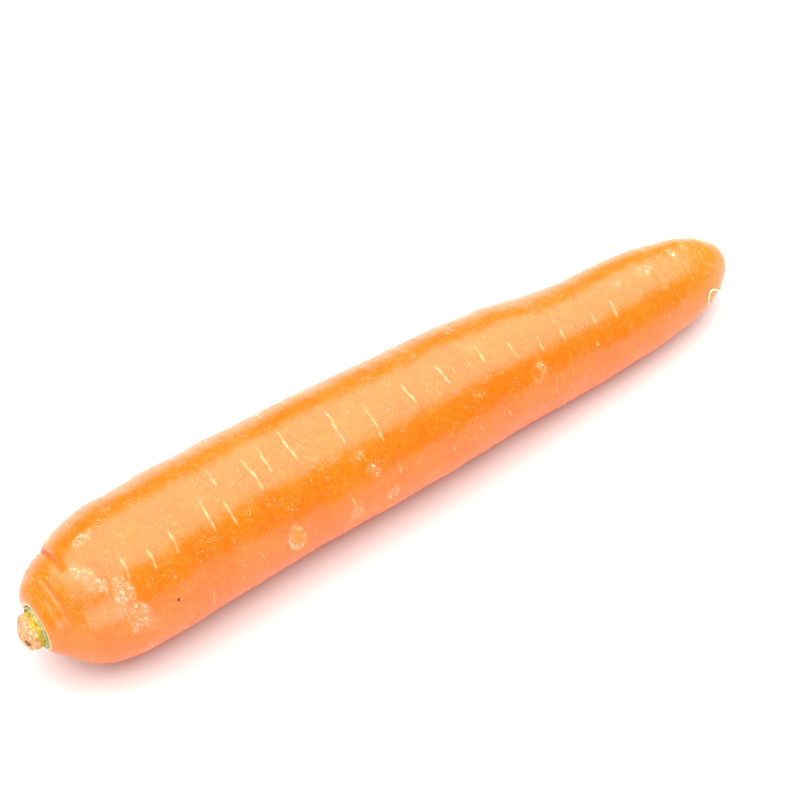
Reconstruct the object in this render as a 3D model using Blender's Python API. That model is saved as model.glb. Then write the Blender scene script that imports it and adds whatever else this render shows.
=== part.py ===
"""A topped carrot lying on its side: one thick root, the collar of cut leaf stalks and the stub of the
stem at its crown, and one fine rootlet curled against its tip.

Metres, +Z up. +X runs from the crown to the tip, the root lies on z = 0, and the middle of the whole
carrot's outline is over the origin. Inside the script the root is drawn in millimetres from its crown
rim at x = 0, and an angle round it is counted from straight up towards -Y.
"""

import math

import bmesh
import bpy
import numpy as np
from mathutils import Vector

MM = 0.001
GAP = 0.3  # clearance that touching pieces keep

# The root's outline: distance from the crown rim and radius there.
OUTLINE = (
    (0.0, 5.8),
    (1.2, 7.8),
    (3.8, 10.5),
    (7.8, 13.7),
    (13.0, 16.1),
    (19.0, 17.5),
    (27.0, 18.0),
    (41.0, 18.0),
    (65.0, 17.4),
    (91.0, 16.8),
    (116.0, 16.0),
    (135.0, 14.9),
    (151.0, 13.3),
    (168.0, 12.6),
    (179.0, 11.5),
    (187.5, 9.6),
    (193.5, 6.8),
    (197.0, 3.6),
    (198.2, 0.0),
)
TIP = OUTLINE[-1][0]
RIM_RADIUS = OUTLINE[0][1]

# How far the centreline lies towards +Y, by distance from the crown rim.
SWAY = (
    (0.0, -0.8),
    (3.8, 0.6),
    (9.0, 0.1),
    (15.0, -0.2),
    (26.0, 0.1),
    (65.0, 1.2),
    (100.0, 0.9),
    (128.0, 1.3),
    (152.0, 0.4),
    (180.0, 1.2),
    (198.2, 2.2),
)
LAIN_DEPTH = 0.35  # how much the side it lies on is flattened
CROWN_RISE = 17.0  # height of the crown's middle above what the root lies on
CROWN_BEND_END = 24.0  # from here on the root follows what it lies on
TIP_RISE = 11.0
TIP_BEND_START = 168.0

# The lofted root's rings: columns round it, and the steps from ring to ring along its outline.
COLUMNS = 48
SHOULDER_STEP = 1.0
SHOULDER_END = 20.0
BODY_STEP = 5.0
TIP_STEP = 1.9
TIP_START = 178.0

# Creases in the shoulder: distance, middle angle and half-width in degrees, slant in millimetres per
# radian, depth and width in millimetres.
CREASES = (
    (9.4, -58.0, 54.0, -1.0, 1.4, 1.1),
    (4.8, 22.0, 36.0, 0.3, 0.3, 0.9),
)
# Low swellings of the skin: waves round the root, length of one wave along it, phase in radians, height.
SWELLINGS = ((2, 170.0, 0.4, 0.20), (3, 95.0, 1.9, 0.14), (1, 37.0, 2.6, 0.12), (4, 61.0, 4.1, 0.08))
SWELLING_FADE = (8.0, 14.0)  # lengths over which they die out at the crown and at the tip

# The crown: a dish inside the rim that holds the collar and the stub.
DISH_WIDTH = 0.5
DISH_DEPTH = 1.6
COLLAR_OUTER = RIM_RADIUS - DISH_WIDTH - GAP
COLLAR_INNER = 4.3
COLLAR_FRONT = -0.5
COLLAR_EDGE = 0.3  # how far its front edges are rounded off
COLLAR_STALKS = 9  # scallops left round it by the cut stalks
SCALLOP = 0.18

STUB_OUTLINE = (
    (DISH_DEPTH - GAP, 3.9),
    (-0.8, 3.9),
    (-1.6, 4.35),
    (-2.5, 4.2),
    (-3.4, 3.4),
    (-4.1, 2.2),
    (-4.5, 1.0),
)
STUB_FRONT = -4.6
STUB_COLUMNS = 24
STUB_DROOP = 1.5  # how far its end hangs below its base
STUB_LUMPS = ((3, 1.0, 0.05), (5, 2.6, 0.03))  # waves round it, phase in radians, share of its radius

# The rootlet's loop: distance from the crown rim and angle round the root.
ROOTLET_ROUTE = (
    (192.6, 106.0),
    (191.4, 96.0),
    (189.9, 83.0),
    (188.4, 74.5),
    (187.0, 74.0),
    (186.3, 80.0),
    (186.3, 89.0),
    (187.0, 98.0),
    (188.2, 105.0),
)
ROOTLET_RADIUS = 0.22
ROOTLET_LIFT = ROOTLET_RADIUS + GAP + 0.05  # from the faceted skin to its middle
ROOTLET_POINTS = 36


def through(stations, at):
    """The smooth curve through (place, value) stations, read at the places asked for."""
    place, value = (np.array(column, float) for column in zip(*stations))
    slope = np.gradient(value, place)
    i = np.clip(np.searchsorted(place, at) - 1, 0, len(place) - 2)
    span = place[i + 1] - place[i]
    t = (np.asarray(at, float) - place[i]) / span
    rise = 3 * t**2 - 2 * t**3
    lean = slope[i] * (t**3 - 2 * t**2 + t) + slope[i + 1] * (t**3 - t**2)
    return value[i] + (value[i + 1] - value[i]) * rise + span * lean


def eased(t):
    """0 to 1 with a level start and end."""
    t = float(np.clip(t, 0.0, 1.0))
    return t * t * (3 - 2 * t)


def ring_step(distance):
    if distance < SHOULDER_END:
        return SHOULDER_STEP
    return TIP_STEP if distance > TIP_START else BODY_STEP


def root_rings():
    """(distance, radius) of each ring, walked along the outline from the crown rim to near the tip."""
    over_the_tip = (OUTLINE[-2][0], -OUTLINE[-2][1])  # carries the curve squarely across the axis
    points = [*OUTLINE, over_the_tip]
    run = np.cumsum([0.0, *(math.dist(a, b) for a, b in zip(points, points[1:]))])
    distances = [(r, p[0]) for r, p in zip(run, points)]
    radii = [(r, p[1]) for r, p in zip(run, points)]
    rings = []
    at = 0.0
    while at < run[-2] - 0.6 * TIP_STEP:
        distance = float(through(distances, at))
        rings.append((distance, float(through(radii, at))))
        at += ring_step(distance)
    return rings


def middle(distance, radius):
    """The centreline's (y, z) where the root has that radius."""
    lying = radius - LAIN_DEPTH
    body = eased(distance / CROWN_BEND_END)
    tip = eased((distance - TIP_BEND_START) / (TIP - TIP_BEND_START))
    height = CROWN_RISE * (1 - body) + lying * body
    height = height * (1 - tip) + TIP_RISE * tip
    return float(through(SWAY, distance)), height


def skin_offset(distance, turn):
    """How far the skin stands out, or in where it is creased, at an angle in radians round the root."""
    swell = 0.0
    for waves, length, phase, height in SWELLINGS:
        along = math.sin(2 * math.pi * distance / length + phase)
        swell += height * math.cos(waves * turn + phase) * along
    fade = eased(distance / SWELLING_FADE[0]) * eased((TIP - distance) / SWELLING_FADE[1])
    clear_of_floor = min(1.0, 0.8 * (1 + math.cos(turn)))
    offset = swell * fade * clear_of_floor
    for place, facing, half, slant, depth, width in CREASES:
        off = math.remainder(turn - math.radians(facing), 2 * math.pi)
        reach = max(0.0, 1 - (off / math.radians(half)) ** 2)
        offset -= depth * reach * math.exp(-(((distance - place - slant * off) / width) ** 2))
    return offset


def round_point(x, radius, turn, centre):
    """The point at an angle and radius round a centre line running along X."""
    y, z = centre
    return Vector((x, y - radius * math.sin(turn), z + radius * math.cos(turn))) * MM


def turns(columns):
    return [2 * math.pi * i / columns for i in range(columns)]


def add_loop(bm, points):
    """A closed loop of edges through the points."""
    verts = [bm.verts.new(p) for p in points]
    return [bm.edges.new(pair) for pair in zip(verts, verts[1:] + verts[:1])]


def loft(bm, rings):
    """One closed skin through the rings, with a flat cap on each end; the two caps are returned."""
    loops = [add_loop(bm, ring) for ring in rings]
    for a, b in zip(loops, loops[1:]):
        bmesh.ops.bridge_loops(bm, edges=a + b)
    caps = [bmesh.ops.contextual_create(bm, geom=loop)["faces"][0] for loop in (loops[0], loops[-1])]
    bmesh.ops.recalc_face_normals(bm, faces=bm.faces[:])
    return caps


def to_object(bm, name):
    mesh = bpy.data.meshes.new(name)
    bm.to_mesh(mesh)
    bm.free()
    mesh.shade_smooth()
    obj = bpy.data.objects.new(name, mesh)
    bpy.context.scene.collection.objects.link(obj)
    return obj


def paint(obj, name, colour, roughness):
    material = bpy.data.materials.new(name)
    material.use_nodes = True
    shader = material.node_tree.nodes["Principled BSDF"]
    shader.inputs["Base Color"].default_value = (*colour, 1.0)
    shader.inputs["Roughness"].default_value = roughness
    shader.inputs["Metallic"].default_value = 0.0
    obj.data.materials.append(material)


def sink_dish(bm, crown):
    """Presses the middle of the crown cap in."""
    bmesh.ops.inset_region(bm, faces=[crown], thickness=DISH_WIDTH * MM, use_even_offset=True)
    bmesh.ops.translate(bm, verts=crown.verts[:], vec=(DISH_DEPTH * MM, 0, 0))


def cut_flat(bm):
    """Takes off what would lie below z = 0 and closes the flat."""
    everything = bm.verts[:] + bm.edges[:] + bm.faces[:]
    cut = bmesh.ops.bisect_plane(
        bm, geom=everything, dist=1e-6, plane_co=(0, 0, 0), plane_no=(0, 0, -1), clear_outer=True
    )
    outline = [e for e in cut["geom_cut"] if isinstance(e, bmesh.types.BMEdge)]
    bmesh.ops.holes_fill(bm, edges=outline, sides=0)


def make_taproot():
    """The root: lofted rings, a dished crown, a rounded tip and a flat where it lies."""
    bm = bmesh.new()
    rings = []
    for distance, radius in root_rings():
        centre = middle(distance, radius)
        ring = [round_point(distance, radius + skin_offset(distance, t), t, centre) for t in turns(COLUMNS)]
        rings.append(ring)
    crown, tip = loft(bm, rings)
    sink_dish(bm, crown)
    nose = bmesh.ops.poke(bm, faces=[tip])["verts"][0]
    nose.co = round_point(TIP, 0.0, 0.0, middle(TIP, 0.0))
    cut_flat(bm)
    bmesh.ops.recalc_face_normals(bm, faces=bm.faces[:])
    root = to_object(bm, "taproot")
    paint(root, "carrot skin", (0.86, 0.25, 0.015), 0.4)
    return root


def make_collar(centre):
    """The ring of cut leaf stalks in the dish: a scalloped band round the stub."""
    back = DISH_DEPTH - GAP
    section = (
        (back, COLLAR_OUTER),
        (COLLAR_FRONT + COLLAR_EDGE, COLLAR_OUTER),
        (COLLAR_FRONT, COLLAR_OUTER - COLLAR_EDGE),
        (COLLAR_FRONT + COLLAR_EDGE, COLLAR_INNER),
        (back, COLLAR_INNER),
    )
    bm = bmesh.new()
    loops = []
    for x, radius in section:
        depth = SCALLOP if x < back else 0.0
        ring = [
            round_point(x - depth * math.cos(COLLAR_STALKS * t), radius, t, centre) for t in turns(COLUMNS)
        ]
        loops.append(add_loop(bm, ring))
    for a, b in zip(loops, loops[1:] + loops[:1]):
        bmesh.ops.bridge_loops(bm, edges=a + b)
    bmesh.ops.recalc_face_normals(bm, faces=bm.faces[:])
    collar = to_object(bm, "leaf_stalk_collar")
    paint(collar, "cut leaf stalk", (0.30, 0.33, 0.14), 0.8)
    return collar


def make_stub(centre):
    """The stem's stub: a lumpy knob that hangs a little to its end."""
    y, z = centre
    bm = bmesh.new()
    rings = []
    for x, radius in STUB_OUTLINE:
        clear_of_collar = x < 2 * COLLAR_FRONT
        sunk = (y, z - STUB_DROOP * max(0.0, x / STUB_FRONT) ** 1.5)
        ring = []
        for t in turns(STUB_COLUMNS):
            lump = sum(share * math.cos(waves * t + phase) for waves, phase, share in STUB_LUMPS)
            ring.append(round_point(x, radius * (1 + lump * clear_of_collar), t, sunk))
        rings.append(ring)
    end = loft(bm, rings)[1]
    knob = bmesh.ops.poke(bm, faces=[end])["verts"][0]
    knob.co.x = STUB_FRONT * MM
    stub = to_object(bm, "stem_stub")
    paint(stub, "stem stub", (0.62, 0.36, 0.13), 0.75)
    return stub


def make_rootlet():
    """A fine root curled against the tip: a bevelled curve that follows its route just off the skin."""
    route = np.linspace(0, 1, len(ROOTLET_ROUTE))
    at = np.linspace(0, 1, ROOTLET_POINTS)
    distances = through(list(zip(route, (p[0] for p in ROOTLET_ROUTE))), at)
    angles = np.radians(through(list(zip(route, (p[1] for p in ROOTLET_ROUTE))), at))
    place, size = zip(*root_rings())
    radii = np.interp(distances, place, size)
    slopes = np.interp(distances + GAP, place, size) - np.interp(distances - GAP, place, size)
    leans = np.arctan(slopes / (2 * GAP))

    curve = bpy.data.curves.new("tip_rootlet", "CURVE")
    curve.dimensions = "3D"
    curve.bevel_depth = ROOTLET_RADIUS * MM
    curve.bevel_resolution = 2
    curve.use_fill_caps = True
    spline = curve.splines.new("POLY")
    spline.points.add(ROOTLET_POINTS - 1)
    for point, distance, turn, radius, lean in zip(spline.points, distances, angles, radii, leans):
        out = radius + skin_offset(distance, turn) + ROOTLET_LIFT * math.cos(lean)
        x = distance - ROOTLET_LIFT * math.sin(lean)
        point.co = (*round_point(x, out, turn, middle(distance, radius)), 1.0)
    rootlet = bpy.data.objects.new("tip_rootlet", curve)
    bpy.context.scene.collection.objects.link(rootlet)
    paint(rootlet, "rootlet", (0.80, 0.62, 0.36), 0.7)
    return rootlet


def centre_over_origin(pieces):
    bpy.context.view_layer.update()
    corners = np.array([piece.matrix_world @ Vector(c) for piece in pieces for c in piece.bound_box])
    across = (corners.min(axis=0) + corners.max(axis=0)) / 2
    for piece in pieces:
        piece.location = (-across[0], -across[1], 0.0)


def main():
    for obj in list(bpy.data.objects):
        bpy.data.objects.remove(obj)
    crown = middle(0.0, RIM_RADIUS)
    centre_over_origin([make_taproot(), make_collar(crown), make_stub(crown), make_rootlet()])


main()
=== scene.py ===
"""The looks of a topped carrot that lies on a pale table.

Lengths are in metres where they meet the frame. The root's own measures are in millimetres along it
from the crown rim, and an angle round it is counted in degrees from straight up towards -Y.
"""

import math

import bpy
import numpy as np
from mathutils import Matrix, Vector


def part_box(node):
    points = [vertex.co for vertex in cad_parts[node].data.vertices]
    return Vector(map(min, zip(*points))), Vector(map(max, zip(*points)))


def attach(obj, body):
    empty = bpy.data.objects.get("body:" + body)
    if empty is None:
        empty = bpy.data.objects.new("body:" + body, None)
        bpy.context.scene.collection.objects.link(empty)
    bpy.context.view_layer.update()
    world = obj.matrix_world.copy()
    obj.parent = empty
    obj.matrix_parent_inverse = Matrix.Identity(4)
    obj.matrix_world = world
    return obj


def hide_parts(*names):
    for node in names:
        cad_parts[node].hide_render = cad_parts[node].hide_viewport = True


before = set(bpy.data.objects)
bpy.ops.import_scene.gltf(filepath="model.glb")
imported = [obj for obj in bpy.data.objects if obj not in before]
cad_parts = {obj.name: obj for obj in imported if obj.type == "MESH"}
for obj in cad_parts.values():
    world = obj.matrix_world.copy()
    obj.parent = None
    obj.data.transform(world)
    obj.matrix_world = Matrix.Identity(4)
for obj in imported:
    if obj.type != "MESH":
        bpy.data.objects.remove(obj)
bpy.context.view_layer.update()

MM = 0.001
RIM_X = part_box("taproot")[0].x  # the crown rim's place along the carrot
ROOT_LENGTH = (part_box("taproot")[1].x - RIM_X) / MM

# The root's outline: distance from the crown rim and radius there.
OUTLINE = (
    (0.0, 5.8),
    (1.2, 7.8),
    (3.8, 10.5),
    (7.8, 13.7),
    (13.0, 16.1),
    (19.0, 17.5),
    (27.0, 18.0),
    (41.0, 18.0),
    (65.0, 17.4),
    (91.0, 16.8),
    (116.0, 16.0),
    (135.0, 14.9),
    (151.0, 13.3),
    (168.0, 12.6),
    (179.0, 11.5),
    (187.5, 9.6),
    (193.5, 6.8),
    (197.0, 3.6),
    (198.2, 0.0),
)
# How far the centreline lies towards +Y.
SWAY = (
    (0.0, -0.8),
    (3.8, 0.6),
    (9.0, 0.1),
    (15.0, -0.2),
    (26.0, 0.1),
    (65.0, 1.2),
    (100.0, 0.9),
    (128.0, 1.3),
    (152.0, 0.4),
    (180.0, 1.2),
    (198.2, 2.2),
)
# Where the crown's centre lies, and where the root's own y is 0.
COLLAR_MIDDLE = (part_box("leaf_stalk_collar")[0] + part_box("leaf_stalk_collar")[1]) / 2
CROWN_CENTRE = Vector((RIM_X, COLLAR_MIDDLE.y, COLLAR_MIDDLE.z))
ROOT_Y = COLLAR_MIDDLE.y - SWAY[0][1] * MM
LAIN_DEPTH = 0.35
LAIN_SOFTNESS = 0.06
CROWN_RISE = 17.0
CROWN_BEND_END = 24.0
TIP_RISE = 11.0
TIP_BEND_START = 168.0
# Low swellings: how many round the root, length along it, phase and height.
SWELLINGS = ((2, 170.0, 0.4, 0.20), (3, 95.0, 1.9, 0.14), (1, 37.0, 2.6, 0.12), (4, 61.0, 4.1, 0.08))
SWELLING_FADE = (8.0, 14.0)
DISH = ((1.6, 0.0), (1.6, 5.1), (0.25, 5.25), (0.0, 5.5))  # distance and radius across the crown dish
DISH_RUN = 6.6  # how far the dish reaches along the outline from its middle, and the rim's crest
RIM_RUN = 7.1
SEGMENTS = 96
RINGS = 1040
# Low unevenness of the skin: height, wavelength and seed, even all round and then drawn out round it.
UNEVEN = ((0.09, 13.0, 3), (0.03, 4.5, 4))
UNEVEN_BANDS = ((0.035, 3.2, 5), (0.014, 1.1, 6))
BAND_SQUEEZE = (1.0, 0.22, 0.22)
# Depths and heights of the marks in the skin.
LENTICEL_DEPTH = 0.10
PIT_DEPTH = 0.16
SPECK_DEPTH = 0.3
DOT_RISE = 0.05
CHIP_DEPTH = 0.38
CHIP_LIP = 0.12
SCUFF_GRAIN = 0.02

# Creases of the shoulder: distance, middle angle, half-width in degrees, slant in millimetres per
# radian, depth and width.
CREASES = (
    (9.4, -58.0, 58.0, -1.0, 1.0, 0.5),
    (4.8, 22.0, 36.0, 0.3, 0.3, 0.45),
)

# Lenticels: distance, first and last angle, slant in millimetres per radian, strength.
LENTICELS = (
    (20.0, 14, 38, 0.1, 0.9),
    (26.2, 20, 43, 0.1, 1.0),
    (32.5, 14, 42, 0.1, 0.9),
    (42.6, 8, 42, 0.5, 1.0),
    (48.0, -6, 12, 0.1, 1.0),
    (47.4, 16, 47, 0.4, 0.9),
    (56.9, -4, 33, 0.4, 1.0),
    (61.4, -8, 25, 0.5, 0.9),
    (68.2, -14, 31, 0.5, 1.0),
    (80.4, -12, 38, 0.2, 0.9),
    (88.8, 3, 47, 0.1, 0.9),
    (100.3, 1, 30, 0.3, 1.0),
    (110.2, 0, 28, 0.3, 1.0),
    (121.5, 2, 26, 0.1, 1.0),
    (129.0, 8, 37, 0.1, 0.8),
    (136.2, 17, 41, 0.0, 0.8),
    (143.1, 16, 38, 0.0, 1.0),
    (152.9, 14, 37, 0.1, 0.8),
    (158.9, 12, 42, 0.0, 1.0),
    (177.2, 4, 28, 0.0, 0.6),
    (37.3, 76, 106, -2.2, 0.7),
    (45.0, 80, 97, 1.0, 0.5),
    (50.8, 62, 90, 2.0, 0.6),
    (76.6, 62, 93, 3.0, 0.8),
    (90.3, 56, 78, 1.6, 0.8),
    (105.4, 64, 90, 2.6, 0.6),
    (113.3, 60, 82, 2.8, 0.6),
    (122.3, 65, 86, 3.0, 0.6),
    (136.3, 70, 87, 3.4, 0.6),
)
LENTICEL_WIDTH = 0.34
# Rows of lenticels on the far and lower sides: middle angle, first and last distance.
LENTICEL_ROWS = ((118.0, 22.0, 182.0), (205.0, 16.0, 186.0), (292.0, 24.0, 180.0))

# Scuffed patches: distance, angle, length along and half-length round, strength.
SCUFFS = (
    (10.6, 8, 1.6, 2.4, 0.9),
    (12.4, 20, 1.8, 3.0, 1.0),
    (14.0, 31, 1.3, 2.2, 0.8),
    (16.2, -13, 2.6, 1.6, 1.0),
    (17.2, 40, 2.3, 3.2, 1.0),
    (15.2, 57, 1.4, 2.0, 0.6),
    (18.4, 66, 3.0, 4.0, 1.0),
    (20.6, 78, 2.4, 2.6, 0.6),
    (24.0, -22, 2.0, 1.6, 0.5),
    (54.0, 70, 2.0, 1.5, 0.4),
    (77.0, 88, 1.9, 2.4, 0.9),
    (83.8, 57, 2.4, 2.2, 0.6),
    (87.2, 87, 2.4, 1.8, 0.8),
    (82.4, 40, 3.0, 1.5, 0.5),
    (98.4, 62, 2.2, 2.0, 0.4),
    (98.0, 2, 1.6, 1.6, 0.5),
    (118.6, -18, 3.0, 1.2, 0.4),
    (120.0, 4, 2.0, 2.4, 0.5),
    (133.0, 52, 2.8, 3.2, 0.6),
    (150.0, 50, 2.4, 1.8, 0.4),
    (145.0, 88, 6.0, 1.6, 0.5),
    (163.4, 2, 1.8, 1.6, 0.7),
    (172.1, 2, 2.6, 2.0, 0.8),
    (170.6, 49, 2.2, 1.6, 0.5),
    (182.6, -6, 2.4, 2.0, 0.7),
    (187.0, -8, 1.6, 1.6, 0.7),
    (184.0, 30, 4.0, 2.6, 0.4),
    (189.0, 44, 3.4, 2.8, 0.5),
)
STRAY_SCUFFS = 46  # on the far and lower sides

# The shoulder's fuller upper side: distance and added height.
FULL_SIDE = (
    (0.0, 0.25),
    (0.7, 0.95),
    (1.6, 1.0),
    (3.0, 0.6),
    (5.0, 0.3),
    (7.5, 0.1),
    (9.4, 0.0),
    (10.6, 0.45),
    (13.0, 0.75),
    (18.0, 0.6),
    (23.0, 0.35),
    (28.0, 0.0),
    (200.0, 0.0),
)
FULL_SIDE_FACING = -62.0
FULL_SIDE_SPREAD = 50.0
TIP_NOD = (0.5, 0.5, 186.0)  # how far the tip leans towards -Y and down, and where that starts

# Pale dots, pits and the one dark speck: distance, angle and radius.
DOTS = (
    (133.7, 50, 0.5),
    (150.7, 51, 0.6),
    (70.4, -32, 0.4),
    (118.7, -22, 0.4),
    (172.6, 6, 0.5),
    (182.2, -1, 0.6),
)
PITS = ((9.4, 72, 0.7), (10.7, 94, 0.6), (9.8, 83, 0.6), (144.8, 13, 0.5))
SPECK = (28.3, 72.0, 0.5)
CHIP = (60.9, 80.0, 2.1, 3.7)  # a healed chip: distance, angle, half-length along and round
ROOT_SEED = 7

# The rootlet's route over the skin: distance and angle, from where it grows to its free end.
ROOTLET_ROUTE = (
    (193.4, 112.0),
    (192.6, 106.0),
    (191.4, 96.0),
    (189.9, 83.0),
    (188.4, 74.5),
    (187.0, 74.0),
    (186.3, 80.0),
    (186.3, 89.0),
    (187.0, 98.0),
    (188.2, 105.0),
)
ROOTLET_RADIUS = 0.23

# The stub's outline: place along it and radius, from inside the dish out to its broken end.
STUB_OUTLINE = (
    (1.3, 0.0),
    (1.3, 4.5),
    (-0.2, 4.6),
    (-0.8, 4.4),
    (-1.6, 4.4),
    (-2.5, 4.2),
    (-3.3, 3.4),
    (-4.0, 2.1),
    (-4.3, 0.9),
    (-4.2, 0.0),
)
STUB_DROOP = 1.5
STUB_FRONT = -4.6
STUB_UNEVEN = ((0.17, 3.0, 21), (0.08, 1.1, 22), (0.04, 0.5, 23))  # height, wavelength and seed
STALKS = 9
COLLAR_RADIUS = 4.85
COLLAR_HALF = 0.27

CAMERA_AZIMUTH = -34.6
CAMERA_ELEVATION = 52.8
CAMERA_DISTANCE = 0.75
LENS = 142.8
AIM = (3.0, 6.6)  # how far right of the carrot's middle, and above it, the camera looks


# ---------------------------------------------------------------- the root's own measures


def through(stations, at):
    """The smooth curve through (place, value) stations, read at the places asked for."""
    place, value = (np.array(column, float) for column in zip(*stations))
    slope = np.gradient(value, place)
    i = np.clip(np.searchsorted(place, at) - 1, 0, len(place) - 2)
    span = place[i + 1] - place[i]
    t = (np.asarray(at, float) - place[i]) / span
    rise = 3 * t**2 - 2 * t**3
    lean = slope[i] * (t**3 - 2 * t**2 + t) + slope[i + 1] * (t**3 - t**2)
    return value[i] + (value[i + 1] - value[i]) * rise + span * lean


def eased(t):
    """0 to 1 with a level start and end."""
    t = np.clip(t, 0.0, 1.0)
    return t * t * (3 - 2 * t)


def bell(x):
    """1 at 0, falling away smoothly on both sides."""
    return np.exp(-(x**2))


def outline_walk():
    """(run, distance, radius) closely along the root's outline, from the dish's middle to the tip."""
    over_the_tip = (OUTLINE[-2][0], -OUTLINE[-2][1])
    points = [*OUTLINE, over_the_tip]
    run = np.cumsum([0.0, *(math.dist(a, b) for a, b in zip(points, points[1:]))])
    at = np.linspace(0, run[-2], 4000)
    distance = through([(r, p[0]) for r, p in zip(run, points)], at)
    radius = through([(r, p[1]) for r, p in zip(run, points)], at)
    distance = np.concatenate([[p[0] for p in DISH], distance])
    radius = np.maximum(np.concatenate([[p[1] for p in DISH], radius]), 0.0)
    run = np.concatenate([[0.0], np.cumsum(np.hypot(np.diff(distance), np.diff(radius)))])
    return run, distance, radius


def middle(distance, radius):
    """The centreline's y and z, in millimetres, where the root has that radius."""
    body = eased(distance / CROWN_BEND_END)
    tip = eased((distance - TIP_BEND_START) / (OUTLINE[-1][0] - TIP_BEND_START))
    height = CROWN_RISE * (1 - body) + (radius - LAIN_DEPTH) * body
    height = height * (1 - tip) + TIP_RISE * tip
    return through(SWAY, distance), height


def around(turn, facing):
    """The signed angle in radians from a facing in degrees."""
    return (turn - math.radians(facing) + math.pi) % (2 * math.pi) - math.pi


def ripple(points, wavelength, seed, waves=14):
    """A smooth random field of about -1 to 1 over points in millimetres."""
    random = np.random.default_rng(seed)
    headings = random.normal(size=(waves, 3))
    headings /= np.linalg.norm(headings, axis=1)[:, None]
    lengths = wavelength * random.uniform(0.7, 1.5, waves)
    phases = random.uniform(0, 2 * math.pi, waves)
    field = np.zeros(len(points))
    for heading, length, phase in zip(headings, lengths, phases):
        field += np.sin(points @ heading * (2 * math.pi / length) + phase)
    return field / math.sqrt(waves)


def swell(distance, turn):
    """The root's low swellings, in millimetres."""
    rise = 0.0
    for waves, length, phase, height in SWELLINGS:
        rise = rise + height * np.cos(waves * turn + phase) * np.sin(2 * math.pi * distance / length + phase)
    fade = eased(distance / SWELLING_FADE[0]) * eased((OUTLINE[-1][0] - distance) / SWELLING_FADE[1])
    clear_of_floor = np.minimum(1.0, 0.8 * (1 + np.cos(turn)))
    return rise * fade * clear_of_floor


def nodded(place, distance):
    """Lets the tip lean a little towards -Y and down."""
    nod = eased((distance - TIP_NOD[2]) / (ROOT_LENGTH - TIP_NOD[2]))
    return place - np.outer(nod, (0.0, TIP_NOD[0], TIP_NOD[1]))


# ---------------------------------------------------------------- making things


def edit(obj):
    """Selects only this object and goes into its edit mode with everything selected."""
    bpy.ops.object.select_all(action="DESELECT")
    obj.select_set(True)
    bpy.context.view_layer.objects.active = obj
    bpy.ops.object.mode_set(mode="EDIT")
    bpy.ops.mesh.select_all(action="SELECT")


def leave():
    """Leaves edit mode."""
    bpy.ops.object.mode_set(mode="OBJECT")


def settle(obj):
    """Puts the object's place, turn and size into its mesh."""
    bpy.ops.object.select_all(action="DESELECT")
    obj.select_set(True)
    bpy.context.view_layer.objects.active = obj
    bpy.ops.object.transform_apply(location=True, rotation=True, scale=True)


def points_of(obj):
    """The object's points, one row each."""
    co = np.empty(len(obj.data.vertices) * 3)
    obj.data.vertices.foreach_get("co", co)
    return co.reshape(-1, 3)


def move_points(obj, points):
    """Puts the object's points at those places."""
    obj.data.vertices.foreach_set("co", np.ascontiguousarray(points, dtype=np.float32).ravel())
    obj.data.update()


def mark(obj, name, values):
    """Stores a value for each point, for the finish to read."""
    layer = obj.data.attributes.new(name, "FLOAT", "POINT")
    layer.data.foreach_set("value", np.ascontiguousarray(values, dtype=np.float32))


def face_out(obj):
    """Turns every face outwards and shades them smooth."""
    edit(obj)
    bpy.ops.mesh.normals_make_consistent(inside=False)
    leave()
    bpy.ops.object.shade_smooth()


# ---------------------------------------------------------------- the root


def lenticel_marks(distance, turn):
    """How deep in a lenticel each point is, 0 to 1: the upper side's own, then rows on the other sides."""
    marks = [*LENTICELS]
    random = np.random.default_rng(ROOT_SEED)
    for facing, first, last in LENTICEL_ROWS:
        place = first
        while place < last:
            centre = facing + random.normal(0, 7)
            half = random.uniform(9, 21)
            marks.append((place, centre - half, centre + half, random.normal(0, 1.3), random.uniform(0.5, 1)))
            place += random.uniform(5, 13)
    depth = np.zeros(len(distance))
    for place, first, last, slant, strength in marks:
        near = np.abs(distance - place) < 4.0
        half = math.radians(last - first) / 2
        off = around(turn[near], (first + last) / 2)
        wander = 0.12 * np.sin(off * 23 + place) + 0.25 * np.sin(off * 7 + 2 * place)
        line = bell((distance[near] - place - slant * off - wander) / LENTICEL_WIDTH)
        reach = np.clip(1 - (np.abs(off) / half) ** 2.4, 0, 1)
        broken = 0.72 + 0.28 * np.sin(off * 31 + 3 * place)
        depth[near] = np.maximum(depth[near], strength * line * reach * broken)
    return depth


def scuff_marks(distance, turn, radius):
    """How scuffed each point is, 0 to 1: the upper side's own scuffs, then strays on the other sides."""
    marks = [*SCUFFS]
    random = np.random.default_rng(ROOT_SEED + 1)
    for _ in range(STRAY_SCUFFS):
        marks.append(
            (
                random.uniform(8, 192),
                random.uniform(100, 320),
                random.uniform(1.2, 4.0),
                random.uniform(1.2, 3.4),
                random.uniform(0.3, 1.0),
            )
        )
    worn = np.zeros(len(distance))
    for place, facing, along, half, strength in marks:
        across = around(turn, facing) * radius / half
        worn = np.maximum(worn, strength * bell(((distance - place) / along) ** 2 + across**2) ** 0.5)
    return worn


def spot(distance, turn, radius, place, facing, size):
    """1 in the middle of a round spot, falling off over its size."""
    across = around(turn, facing) * radius
    return bell(np.hypot(distance - place, across) / size)


def crease_depth(distance, turn):
    """Each crease's own depth at each point, 0 to 1."""
    depths = []
    for place, facing, half, slant, _, width in CREASES:
        off = around(turn, facing)
        reach = np.clip(1 - (off / math.radians(half)) ** 4, 0, 1)
        depths.append(reach * bell((distance - place - slant * off) / width))
    return depths


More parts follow.
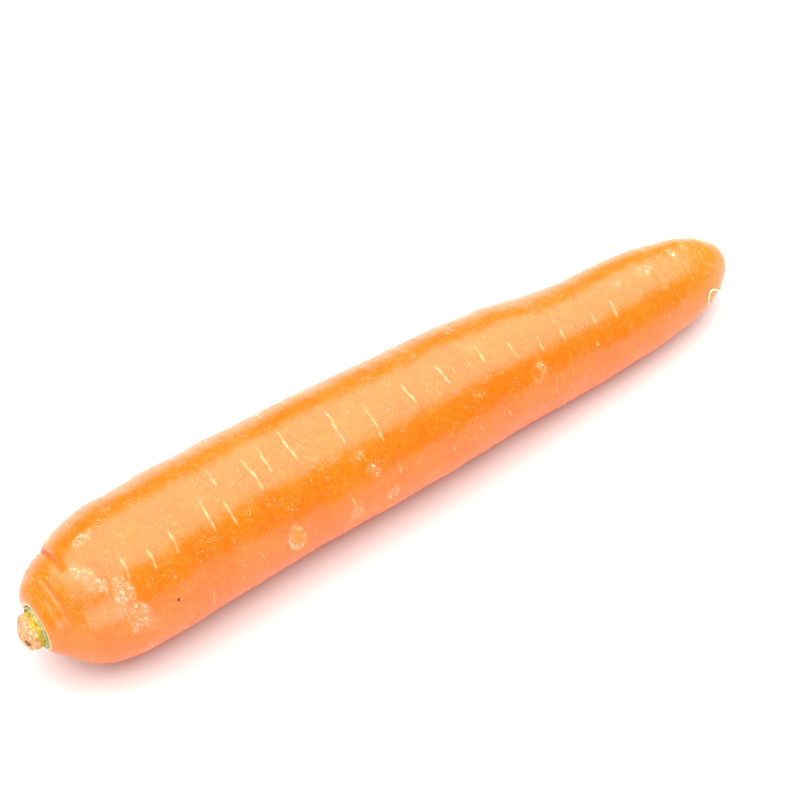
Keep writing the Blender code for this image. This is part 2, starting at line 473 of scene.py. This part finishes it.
def chip_marks(distance, turn, radius, place):
    """How far each point is inside the healed chip, and on its ragged rim, each 0 to 1."""
    along = (distance - CHIP[0] - 0.9 * around(turn, CHIP[1])) / CHIP[2]
    across = around(turn, CHIP[1]) * radius / CHIP[3]
    reach = np.hypot(along, across) + 0.14 * ripple(place, 2.2, 11)
    inside = eased((1.0 - reach) / 0.35 + 0.5)
    worn_side = np.clip(0.45 + (0.5 * across - 0.4 * along) / np.maximum(reach, 0.3), 0.08, 1.0)
    return inside, bell((reach - 1.0) / 0.2) * worn_side


def make_skin():
    """The root's skin: a ball's rings drawn out along the outline, then sculpted."""
    bpy.ops.object.select_all(action="DESELECT")
    bpy.ops.mesh.primitive_uv_sphere_add(segments=SEGMENTS, ring_count=RINGS, radius=1.0)
    skin = bpy.context.object
    skin.name = "carrot_skin"
    ball = points_of(skin)
    share = np.arccos(np.clip(ball[:, 2], -1, 1)) / math.pi
    turn = np.arctan2(ball[:, 1], ball[:, 0])
    run, distances, radii = outline_walk()
    at = share * run[-1]
    distance = np.interp(at, run, distances)
    radius = np.interp(at, run, radii)
    size = np.maximum(radius, 0.5)
    y, z = middle(distance, radius)
    place = np.stack([distance, y - radius * np.sin(turn), z + radius * np.cos(turn)], axis=1)

    lean = np.interp(at, run, np.gradient(radii, run))
    ahead = np.interp(at, run, np.gradient(distances, run))
    outward = np.stack([-lean, -ahead * np.sin(turn), ahead * np.cos(turn)], axis=1)
    on_skin = eased((at - DISH_RUN) / 1.2)

    lenticels = lenticel_marks(distance, turn) * on_skin
    scuffs = scuff_marks(distance, turn, size)
    deep, fine = crease_depth(distance, turn)
    dots = sum(spot(distance, turn, size, *dot) for dot in DOTS)
    pits = sum(spot(distance, turn, size, *pit) for pit in PITS)
    speck = spot(distance, turn, size, *SPECK)
    chip, chip_rim = chip_marks(distance, turn, size, place)

    height = swell(distance, turn)
    for rise, wavelength, seed in UNEVEN:
        height = height + rise * ripple(place, wavelength, seed)
    for rise, wavelength, seed in UNEVEN_BANDS:
        height = height + rise * ripple(place * BAND_SQUEEZE, wavelength, seed)
    height = height - CREASES[0][4] * deep - CREASES[1][4] * fine
    full = np.interp(distance, *zip(*FULL_SIDE))
    height = height + full * bell(around(turn, FULL_SIDE_FACING) / math.radians(FULL_SIDE_SPREAD))
    height = height - LENTICEL_DEPTH * lenticels - PIT_DEPTH * pits - SPECK_DEPTH * speck
    height = height + DOT_RISE * dots - CHIP_DEPTH * chip + CHIP_LIP * chip_rim
    height = height + SCUFF_GRAIN * scuffs * ripple(place, 0.9, 8)
    place = place + outward * (height * on_skin)[:, None]
    place = nodded(place, distance)

    lift = place[:, 2]
    place[:, 2] = 0.5 * (lift + np.sqrt(lift**2 + LAIN_SOFTNESS**2))
    move_points(skin, place * MM + (RIM_X, ROOT_Y, 0.0))

    mark(skin, "lenticel", lenticels)
    mark(skin, "scuff", scuffs)
    mark(skin, "crease", np.maximum(deep, 0.8 * fine))
    mark(skin, "chip", chip)
    mark(skin, "chip_rim", chip_rim)
    mark(skin, "dots", dots)
    mark(skin, "pits", np.clip(pits + speck, 0, 1))
    mark(skin, "speck", speck)
    mark(skin, "rim", bell((at - RIM_RUN) / 0.55))
    mark(skin, "dish", 1 - on_skin)
    face_out(skin)
    return skin


# ---------------------------------------------------------------- the crown and the rootlet


def make_stub(centre):
    """The stem's stub: a ball drawn into a drooping, broken knob."""
    bpy.ops.object.select_all(action="DESELECT")
    bpy.ops.mesh.primitive_uv_sphere_add(segments=96, ring_count=64, radius=1.0)
    stub = bpy.context.object
    stub.name = "stem_knob"
    ball = points_of(stub)
    share = np.arccos(np.clip(ball[:, 2], -1, 1)) / math.pi
    turn = np.arctan2(ball[:, 1], ball[:, 0])
    steps = [math.dist(a, b) for a, b in zip(STUB_OUTLINE, STUB_OUTLINE[1:])]
    run = np.concatenate([[0.0], np.cumsum(steps)])
    x = np.interp(share * run[-1], run, [p[0] for p in STUB_OUTLINE])
    r = np.interp(share * run[-1], run, [p[1] for p in STUB_OUTLINE])
    droop = STUB_DROOP * np.maximum(0, x / STUB_FRONT) ** 1.5
    place = np.stack([x, -r * np.sin(turn), r * np.cos(turn) - droop], axis=1)
    out = np.stack([-0.4 * np.ones(len(x)), -np.sin(turn) * r / 4, np.cos(turn) * r / 4], axis=1)
    free = eased((-0.6 - x) / 0.8)
    rough = sum(rise * ripple(place, wavelength, seed) for rise, wavelength, seed in STUB_UNEVEN)
    place = place + out * (rough * free)[:, None]
    move_points(stub, place * MM + centre)
    mark(stub, "base", eased((x + 2.6) / 2.2))
    mark(stub, "scar", bell(np.hypot(place[:, 1] + 2.3, place[:, 2] + 0.6) / 1.0) * (x < -2.6))
    face_out(stub)
    edit(stub)
    bpy.ops.mesh.vertices_smooth(factor=0.5, repeat=2)
    leave()
    return stub


def make_collar(centre):
    """The ring of cut leaf stalks: a ring drawn deep and torn into stalk ends."""
    bpy.ops.object.select_all(action="DESELECT")
    bpy.ops.mesh.primitive_torus_add(
        major_segments=216,
        minor_segments=20,
        major_radius=COLLAR_RADIUS * MM,
        minor_radius=COLLAR_HALF * MM,
        rotation=(0, math.pi / 2, 0),
    )
    collar = bpy.context.object
    collar.name = "leaf_stalk_ends"
    settle(collar)
    points = points_of(collar) / MM
    turn = np.arctan2(-points[:, 1], points[:, 2])
    r = np.hypot(points[:, 1], points[:, 2])
    depth = points[:, 0]
    stalks = np.abs(np.sin(STALKS / 2 * turn + 0.4)) ** 0.6
    front = eased(-depth / 0.3)
    flat = points * (0, 1, 1)
    torn = 0.30 * stalks + 0.12 * ripple(flat, 1.4, 31) + 0.07 * ripple(flat, 0.6, 32)
    x = depth * 2.4 + 0.35 - front * torn
    r = r + 0.07 * ripple(points, 1.2, 33) - 0.06 * front
    place = np.stack([x, -r * np.sin(turn), r * np.cos(turn)], axis=1)
    move_points(collar, place * MM + centre)
    from_middle = np.hypot(points[:, 1], points[:, 2]) - COLLAR_RADIUS
    mark(collar, "outer", eased(from_middle / COLLAR_HALF + 0.5))
    face_out(collar)
    return collar


def make_rootlet():
    """The rootlet: a fine tapering strand that lies on the skin in a loop."""
    route = np.linspace(0, 1, len(ROOTLET_ROUTE))
    at = np.linspace(0, 1, 60)
    distance = through(list(zip(route, (p[0] for p in ROOTLET_ROUTE))), at)
    turn = np.radians(through(list(zip(route, (p[1] for p in ROOTLET_ROUTE))), at))
    _, distances, radii = outline_walk()
    radius = np.interp(distance, distances[len(DISH) :], radii[len(DISH) :])
    slope = np.gradient(radii[len(DISH) :], distances[len(DISH) :])
    lean = np.arctan(np.interp(distance, distances[len(DISH) :], slope))
    lift = ROOTLET_RADIUS * (1.15 - 1.0 * eased((0.10 - at) / 0.10))
    y, z = middle(distance, radius)
    out = radius + swell(distance, turn) + lift * np.cos(lean)
    x = distance - lift * np.sin(lean)
    place = np.stack([x, y - out * np.sin(turn), z + out * np.cos(turn)], axis=1)
    place = nodded(place, distance) * MM + (RIM_X, ROOT_Y, 0.0)
    bpy.ops.object.select_all(action="DESELECT")
    bpy.ops.curve.primitive_nurbs_path_add()
    strand = bpy.context.object
    strand.name = "rootlet_strand"
    curve = strand.data
    curve.splines.clear()
    spline = curve.splines.new("POLY")
    spline.points.add(len(place) - 1)
    for point, spot_place, share in zip(spline.points, place, at):
        point.co = (*spot_place, 1.0)
        point.radius = 1.25 - 0.75 * share + 0.12 * math.sin(41 * share)
    curve.bevel_depth = ROOTLET_RADIUS * MM
    curve.bevel_resolution = 3
    curve.use_fill_caps = True
    bpy.ops.object.select_all(action="DESELECT")
    strand.select_set(True)
    bpy.context.view_layer.objects.active = strand
    bpy.ops.object.convert(target="MESH")
    strand = bpy.context.object
    settle(strand)
    face_out(strand)
    return strand


# ---------------------------------------------------------------- finishes

SKIN_DEEP = (0.93, 0.118, 0.0002)
SKIN_LIT = (0.95, 0.150, 0.001)
SKIN_MOTTLED = (0.96, 0.190, 0.006)
SKIN_BANDED = (1.0, 0.24, 0.02)
SKIN_NEAR_TIP = (0.90, 0.162, 0.0002)
SKIN_TIP = (0.84, 0.185, 0.0)
SKIN_CROWN = (0.92, 0.155, 0.0)
PALE_FLECK = (1.0, 0.44, 0.22)
# Painted shade: the darker orange laid in the shoulder creases.
CREASE_PAINTED_SHADE = (0.62, 0.115, 0.0)
# Painted shade: the darker orange laid in the pits.
PIT_PAINTED_SHADE = (0.50, 0.10, 0.0)
DARK_SPECK = (0.05, 0.035, 0.02)
# Painted shade: the darker orange laid beside the lenticels.
LENTICEL_PAINTED_SHADE = (0.86, 0.105, 0.0)
LENTICEL_LINE = (1.0, 0.39, 0.16)
SCUFF_HAZE = (1.0, 0.28, 0.12)
SCUFF_WORN = (0.98, 0.43, 0.24)
SCUFF_DRY = (1.0, 0.62, 0.42)
PALE_DOT = (1.0, 0.66, 0.40)
CHIP_PALE = (1.0, 0.44, 0.20)
CHIP_DEEP = (0.98, 0.22, 0.0)
CHIP_EDGE = (1.0, 0.56, 0.30)
RIM_PALE = (0.95, 0.50, 0.22)
DISH_GREEN = (0.40, 0.32, 0.03)
STEM_TAN = (0.80, 0.29, 0.10)
STEM_PALE = (0.90, 0.43, 0.20)
STEM_DRY = (0.92, 0.60, 0.33)
STEM_FLECK = (0.55, 0.15, 0.02)
STEM_GREEN = (0.62, 0.42, 0.01)
STEM_DARK = (0.22, 0.19, 0.015)
STEM_SCAR = (0.30, 0.09, 0.03)
STALK_INNER_DARK = (0.34, 0.28, 0.01)
STALK_INNER = (0.60, 0.44, 0.02)
STALK_OUTER_DARK = (0.26, 0.28, 0.10)
STALK_OUTER = (0.44, 0.43, 0.24)
STALK_FIBRE = (0.56, 0.52, 0.28)
ROOTLET_TAN = (0.98, 0.66, 0.34)
ROOTLET_CREAM = (1.0, 0.84, 0.58)
TABLE = (0.68, 0.67, 0.655)


class Wire:
    """A shader socket; arithmetic on it adds Math nodes."""

    def __init__(self, finish, socket):
        self.finish = finish
        self.socket = socket

    def math(self, operation, *values):
        return self.finish.node("ShaderNodeMath", {"operation": operation}, dict(enumerate(values)))

    def __add__(self, other):
        return self.math("ADD", self, other)

    __radd__ = __add__

    def __sub__(self, other):
        return self.math("SUBTRACT", self, other)

    def __rsub__(self, other):
        return self.math("SUBTRACT", other, self)

    def __mul__(self, other):
        return self.math("MULTIPLY", self, other)

    __rmul__ = __mul__

    def ramp(self, low, high):
        """0 at low, 1 at high, smooth between."""
        inputs = {"Value": self, "From Min": low, "From Max": high}
        return self.finish.node("ShaderNodeMapRange", {"interpolation_type": "SMOOTHSTEP"}, inputs)


class Finish:
    """One material and its nodes."""

    def __init__(self, name, **sockets):
        self.material = bpy.data.materials.new(name)
        self.material.use_nodes = True
        self.tree = self.material.node_tree
        self.shader = self.tree.nodes["Principled BSDF"]
        for socket, value in sockets.items():
            self.shader.inputs[socket.replace("_", " ")].default_value = value

    def put(self, socket, value):
        """Feeds a socket with a wire or sets its own value."""
        if isinstance(value, Wire):
            self.tree.links.new(value.socket, socket)
        else:
            socket.default_value = value

    def node(self, kind, settings=None, inputs=None, out=0):
        """A new node with its settings and inputs, as the wire from one of its outputs."""
        made = self.tree.nodes.new(kind)
        for name, value in (settings or {}).items():
            setattr(made, name, value)
        for name, value in (inputs or {}).items():
            self.put(made.inputs[name], value)
        return Wire(self, made.outputs[out])

    def place(self):
        return self.node("ShaderNodeTexCoord", out="Object")

    def scaled(self, vector, by):
        return self.node("ShaderNodeVectorMath", {"operation": "MULTIPLY"}, {0: vector, 1: by})

    def noise(self, vector, scale, detail=2.0, roughness=0.5):
        inputs = {"Vector": vector, "Scale": scale, "Detail": detail, "Roughness": roughness}
        return self.node("ShaderNodeTexNoise", None, inputs)

    def marked(self, name):
        """The value that mark() stored under that name."""
        return self.node("ShaderNodeAttribute", {"attribute_name": name}, out="Fac")

    def mix(self, factor, a, b):
        """Colour a where the factor is 0, and b where it is 1."""
        settings = {"data_type": "RGBA", "clamp_factor": True}
        return self.node("ShaderNodeMix", settings, {0: factor, 6: opaque(a), 7: opaque(b)}, out=2)

    def shade(self, colour, roughness=None, height=None, distance=0.0001):
        """Feeds the shader, with a height in shares of the distance, and gives the material."""
        self.put(self.shader.inputs["Base Color"], colour)
        if roughness is not None:
            self.put(self.shader.inputs["Roughness"], roughness)
        if height is not None:
            bump = self.node("ShaderNodeBump", None, {"Height": height, "Distance": distance})
            self.put(self.shader.inputs["Normal"], bump)
        return self.material


def opaque(colour):
    """A colour socket's value, or the wire that feeds it."""
    return colour if isinstance(colour, Wire) else (*colour, 1.0)


def skin_finish():
    """Orange skin: mottled, faintly banded, with pale lenticels, flecked scuffs and a healed chip, and
    painted shade in the creases, in the pits and beside the lenticels.
    """
    f = Finish(
        "skin",
        Subsurface_Weight=0.22,
        Subsurface_Radius=(1.0, 0.4, 0.08),
        Subsurface_Scale=0.0011,
        Specular_IOR_Level=0.5,
    )
    place = f.place()
    banded = f.scaled(place, (1.0, 0.16, 0.16))
    x = f.node("ShaderNodeSeparateXYZ", None, {0: place})

    cloudy = f.noise(place, 95.0, 3.0).ramp(0.35, 0.68)
    mottled = f.noise(place, 640.0, 4.0, 0.65).ramp(0.38, 0.66)
    bands = f.noise(banded, 900.0, 3.0, 0.6).ramp(0.42, 0.70)
    fine = f.noise(place, 2100.0, 3.0, 0.7)
    clusters = f.noise(place, 210.0, 3.0, 0.6).ramp(0.45, 0.66)
    specks = fine.ramp(0.575, 0.635) * (clusters * 0.8 + x.ramp(0.070, 0.1) * 0.3 + 0.2)

    colour = f.mix(cloudy * 0.6, SKIN_DEEP, SKIN_LIT)
    colour = f.mix(mottled * 0.3, colour, SKIN_MOTTLED)
    colour = f.mix(bands * 0.12, colour, SKIN_BANDED)
    tip = x.ramp(0.045, 0.098)
    colour = f.mix(tip * 0.6, colour, SKIN_NEAR_TIP)
    colour = f.mix(x.ramp(0.078, 0.100) * 0.8, colour, SKIN_TIP)
    crown = 1 - x.ramp(-0.097, -0.080)
    colour = f.mix(crown * 0.6, colour, SKIN_CROWN)
    colour = f.mix(specks * 0.75, colour, PALE_FLECK)

    crease = f.marked("crease")
    # Painted shade: the creases are darkened.
    colour = f.mix(crease * 0.9, colour, CREASE_PAINTED_SHADE)
    pits = f.marked("pits")
    # Painted shade: the pits are darkened.
    colour = f.mix(pits * 0.8, colour, PIT_PAINTED_SHADE)
    colour = f.mix(f.marked("speck").ramp(0.25, 0.55), colour, DARK_SPECK)

    lenticel = f.marked("lenticel")
    # Painted shade: a darker orange band along each lenticel's groove.
    shadow = lenticel.ramp(0.02, 0.2) * 0.3
    colour = f.mix(shadow, colour, LENTICEL_PAINTED_SHADE)
    grainy = f.noise(place, 1500.0, 2.0) * 1.0 + 0.4
    line = (lenticel * grainy).ramp(0.10, 0.66)
    colour = f.mix(line * 0.85, colour, LENTICEL_LINE)

    scuff = f.marked("scuff")
    edge = (scuff + (f.noise(place, 420.0, 3.0, 0.65) - 0.5) * 1.6).ramp(0.30, 0.85) * scuff.ramp(0.03, 0.3)
    blobs = f.noise(place, 1050.0, 2.0, 0.6).ramp(0.50, 0.62)
    flecks = f.noise(place, 1900.0, 3.0, 0.7).ramp(0.50, 0.60)
    worn = (edge * (blobs * 0.6 + flecks * 0.6)).ramp(0.22, 1.05)
    colour = f.mix(edge * 0.28, colour, SCUFF_HAZE)
    colour = f.mix(worn * 0.66, colour, SCUFF_WORN)
    colour = f.mix((worn * flecks) * 0.55, colour, SCUFF_DRY)
    colour = f.mix(f.marked("dots").ramp(0.35, 0.85) * 0.9, colour, PALE_DOT)

    chip = f.marked("chip")
    patchy = f.noise(place, 520.0, 3.0, 0.6)
    colour = f.mix(chip * patchy.ramp(0.46, 0.56) * 0.75, colour, CHIP_PALE)
    colour = f.mix(chip * (1 - patchy.ramp(0.44, 0.54)) * 0.7, colour, CHIP_DEEP)
    rim = (f.marked("chip_rim") * (f.noise(place, 800.0, 4.0, 0.75) * 4.4 - 1.75)).ramp(0.05, 0.7)
    colour = f.mix(rim * 0.85, colour, CHIP_EDGE)
    colour = f.mix(f.marked("rim").ramp(0.3, 0.9) * 0.7, colour, RIM_PALE)
    colour = f.mix(f.marked("dish") * 0.9, colour, DISH_GREEN)

    roughness = 0.19 + cloudy * 0.03 + mottled * 0.07 + worn * 0.3 + line * 0.2 + crease * 0.4
    height = mottled * 0.35 + bands * 0.3 + specks * 0.35 + worn * 0.5 + f.noise(place, 1300.0, 3.0) * 0.4
    return f.shade(colour, roughness, height, 0.00006)


def stub_finish():
    """Dry stem: tan and pinkish, speckled, yellow-green round its base and brown where it broke."""
    f = Finish("stem", Subsurface_Weight=0.15, Subsurface_Radius=(1.0, 0.4, 0.1), Subsurface_Scale=0.001)
    place = f.place()
    cloudy = f.noise(place, 520.0, 3.0, 0.6).ramp(0.40, 0.62)
    grain = f.noise(place, 1300.0, 3.0, 0.7).ramp(0.42, 0.60)
    colour = f.mix(cloudy, STEM_TAN, STEM_PALE)
    colour = f.mix(grain * 0.6, colour, STEM_DRY)
    flecks = f.noise(place, 1700.0, 2.0).ramp(0.55, 0.64)
    colour = f.mix(flecks * 0.85, colour, STEM_FLECK)
    base = f.marked("base")
    green = (base * 1.2 + cloudy * 0.5 - 0.25).ramp(0.15, 0.7)
    colour = f.mix(green * 0.9, colour, STEM_GREEN)
    dark = f.noise(place, 1400.0, 2.0).ramp(0.52, 0.62) * base.ramp(0.2, 0.9)
    colour = f.mix(dark * 0.75, colour, STEM_DARK)
    colour = f.mix(f.marked("scar").ramp(0.25, 0.6), colour, STEM_SCAR)
    return f.shade(colour, 0.62 + grain * 0.2, grain + flecks * 0.5 + cloudy, 0.00022)


def collar_finish():
    """Cut leaf stalks: grey-green and papery outside, yellower inside, streaked with paler fibres."""
    f = Finish("leaf_stalk")
    place = f.place()
    grain = f.noise(f.scaled(place, (0.3, 1.0, 1.0)), 1500.0, 3.0, 0.6).ramp(0.35, 0.65)
    cloudy = f.noise(place, 500.0, 2.0).ramp(0.4, 0.6)
    inner = f.mix(cloudy, STALK_INNER_DARK, STALK_INNER)
    outer = f.mix(cloudy, STALK_OUTER_DARK, STALK_OUTER)
    colour = f.mix(f.marked("outer"), inner, outer)
    colour = f.mix(grain * 0.4, colour, STALK_FIBRE)
    return f.shade(colour, 0.75 + grain * 0.15, grain, 0.0002)


def rootlet_finish():
    """A dried rootlet: pale cream, a little darker in places."""
    f = Finish("rootlet", Subsurface_Weight=0.2, Subsurface_Radius=(1.0, 0.5, 0.2), Subsurface_Scale=0.0005)
    place = f.place()
    patchy = f.noise(place, 700.0, 2.0).ramp(0.4, 0.65)
    colour = f.mix(patchy, ROOTLET_TAN, ROOTLET_CREAM)
    return f.shade(colour, 0.6 + patchy * 0.1, f.noise(place, 2500.0, 2.0), 0.00006)


def floor_finish():
    """A plain, pale, matt table."""
    f = Finish("table")
    f.shader.inputs["Specular IOR Level"].default_value = 0.1
    return f.shade((*TABLE, 1.0), 0.9)


def dress(piece, material, node):
    """Finishes a piece and lets it stand for its CAD node."""
    piece.data.materials.clear()
    piece.data.materials.append(material)
    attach(piece, "root")
    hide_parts(node)


# ---------------------------------------------------------------- the studio


def panel(name, place, size, towards, radiance):
    """A soft light panel of that radiance, facing a point."""
    data = bpy.data.lights.new(name, "AREA")
    data.shape = "RECTANGLE"
    data.size, data.size_y = size
    data.energy = radiance * math.pi * size[0] * size[1]
    light = bpy.data.objects.new(name, data)
    light.location = place
    light.rotation_euler = (Vector(towards) - Vector(place)).to_track_quat("-Z", "Y").to_euler()
    bpy.context.scene.collection.objects.link(light)


def make_studio():
    """The table, a broad panel overhead, a softer one in front, and a dim room."""
    bpy.ops.object.select_all(action="DESELECT")
    bpy.ops.mesh.primitive_plane_add(size=16.0, location=(0, 0, 0))
    floor = bpy.context.object
    floor.name = "table_top"
    floor.data.materials.append(floor_finish())
    panel("overhead", (0.3, 0.37, 1.0), (3.2, 2.0), (0.3, 0.37, 0.0), 3.75)
    panel("front_left", (-0.95, -1.5, 0.55), (1.3, 1.0), (0, 0, 0), 4.6)
    world = bpy.data.worlds.new("studio")
    world.use_nodes = True
    world.node_tree.nodes["Background"].inputs["Color"].default_value = (1.0, 1.0, 1.0, 1.0)
    world.node_tree.nodes["Background"].inputs["Strength"].default_value = 0.14
    bpy.context.scene.world = world


def make_camera():
    """The camera, above and in front of the crown."""
    a, e = math.radians(CAMERA_AZIMUTH), math.radians(CAMERA_ELEVATION)
    back = Vector((math.sin(a) * math.cos(e), -math.cos(a) * math.cos(e), math.sin(e)))
    right = Vector((math.cos(a), math.sin(a), 0))
    up = back.cross(right)
    aim = Vector((0, 0, 0.017)) + (right * AIM[0] + up * AIM[1]) * MM
    data = bpy.data.cameras.new("camera")
    data.lens = LENS
    data.sensor_width = 36.0
    camera = bpy.data.objects.new("camera", data)
    camera.location = aim + back * CAMERA_DISTANCE
    camera.rotation_euler = (-back).to_track_quat("-Z", "Y").to_euler()
    bpy.context.scene.collection.objects.link(camera)
    bpy.context.scene.camera = camera
    bpy.context.scene.view_settings.view_transform = "Standard"


make_camera()
make_studio()
dress(make_skin(), skin_finish(), "taproot")
dress(make_stub(CROWN_CENTRE), stub_finish(), "stem_stub")
dress(make_collar(CROWN_CENTRE), collar_finish(), "leaf_stalk_collar")
dress(make_rootlet(), rootlet_finish(), "tip_rootlet")
